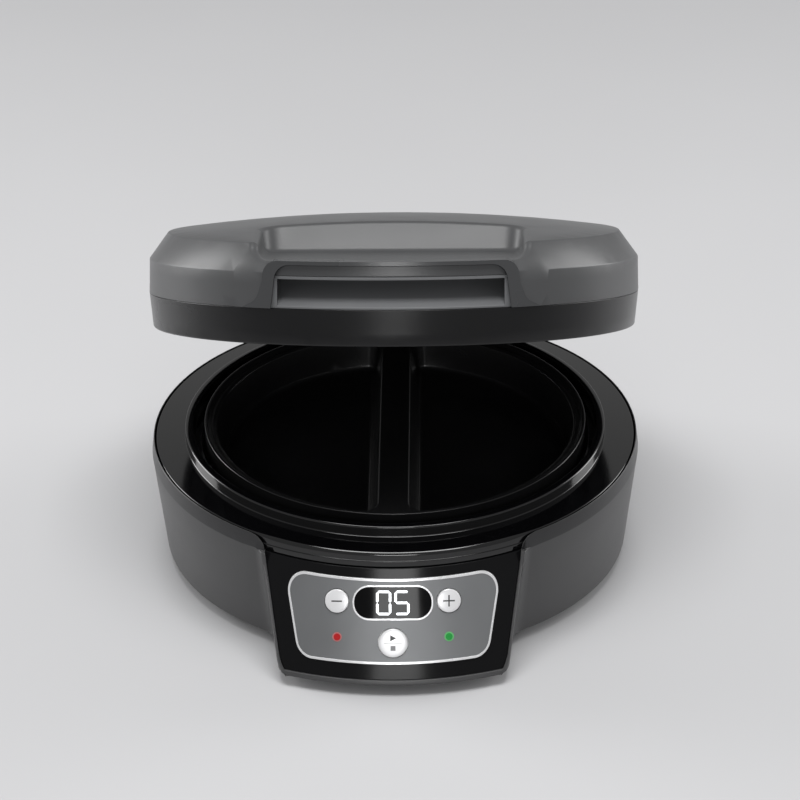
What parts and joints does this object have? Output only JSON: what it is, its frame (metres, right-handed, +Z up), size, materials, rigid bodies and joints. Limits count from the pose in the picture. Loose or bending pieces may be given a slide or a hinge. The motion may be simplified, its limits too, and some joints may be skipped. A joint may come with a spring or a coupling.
{
  "type": "omelette maker",
  "caption": "Round countertop omelette maker: half-moon pan pockets under a hinged domed lid with a scooped handle, and a cone-shaped nose with buttons, lights and a timer display.",
  "frame": {"origin": "centre of the bounding box on the surface that the feet stand on, lid in its pictured pose", "axes": "+Z up, -Y towards the controls at the front, +X to the right as seen from the front"},
  "size_m": [0.2386, 0.2852, 0.1938],
  "materials": {
    "shell_grey": "satin grey moulded plastic",
    "cover_grey": "satin grey moulded plastic",
    "band_dark": "dark glossy plastic",
    "trim_grey": "satin grey trim",
    "pocket_dark": "dark satin plastic",
    "deck_black": "glossy black",
    "liner_black": "heat proof black plastic",
    "pan_black": "cast, with a black non-stick coat",
    "fascia_black": "glossy black",
    "panel_grey": "fine satin sheet",
    "silver": "bright silver coat",
    "button_silver": "satin silver coat",
    "lens_black": "dark clear window",
    "digit_white": "lit segments",
    "light_red": "lit red lens",
    "light_green": "lit green lens",
    "board_green": "printed circuit laminate",
    "component_black": "moulded black",
    "can_aluminium": "drawn can",
    "steel": "bare steel",
    "foot_rubber": "soft black rubber"
  },
  "bodies": {
    "base": {"outer_shell": "shell_grey", "deck": "deck_black", "lower_plate": "pan_black", "lower_heater": "steel", "lower_reflector": "steel", "lower_thermostat": "component_black", "lower_fuse": "steel", "lower_plate_screws": "steel", "control_fascia": "fascia_black", "control_panel": "panel_grey", "panel_border": "silver", "display_ring": "silver", "display_lens": "lens_black", "display_digits": "digit_white", "display_module": "component_black", "power_light": "light_red", "power_ring": "silver", "ready_light": "light_green", "ready_ring": "silver", "control_board": "board_green", "board_switches": "component_black", "bottom_cover": "component_black", "foot_1": "foot_rubber", "foot_2": "foot_rubber", "foot_3": "foot_rubber", "foot_4": "foot_rubber", "cover_screws": "steel", "power_board": "board_green", "power_relay": "component_black", "power_capacitor": "can_aluminium", "cord_gland": "component_black", "hinge_pin": "steel"},
    "lid": {"lid_cover": "cover_grey", "lid_band": "band_dark", "lid_liner": "liner_black", "handle_trim": "trim_grey", "handle_grip": "trim_grey", "finger_pocket": "pocket_dark", "upper_plate": "pan_black", "upper_heater": "steel", "upper_reflector": "steel", "upper_plate_screws": "steel", "upper_fuse": "steel", "hinge_arm": "shell_grey"},
    "minus": {"minus_button": "button_silver"},
    "plus": {"plus_button": "button_silver"},
    "start": {"start_button": "button_silver"}
  },
  "joints": [
    {"name": "lid_hinge", "type": "hinge", "parent": "base", "child": "lid", "pos_m": [0, 0.13411, 0.0575], "axis": [-1, 0, 0], "range_deg": [-22.5, 72.5]},
    {"name": "minus_press", "type": "slide", "parent": "base", "child": "minus", "axis": [0, 0.8998, -0.4364], "range_m": [0, 0.0008], "stiffness_N_per_m": 600, "springref_m": -0.0005},
    {"name": "plus_press", "type": "slide", "parent": "base", "child": "plus", "axis": [0, 0.8998, -0.4364], "range_m": [0, 0.0008], "stiffness_N_per_m": 600, "springref_m": -0.0005},
    {"name": "start_press", "type": "slide", "parent": "base", "child": "start", "axis": [0, 0.8998, -0.4364], "range_m": [0, 0.0008], "stiffness_N_per_m": 600, "springref_m": -0.0005}
  ]
}
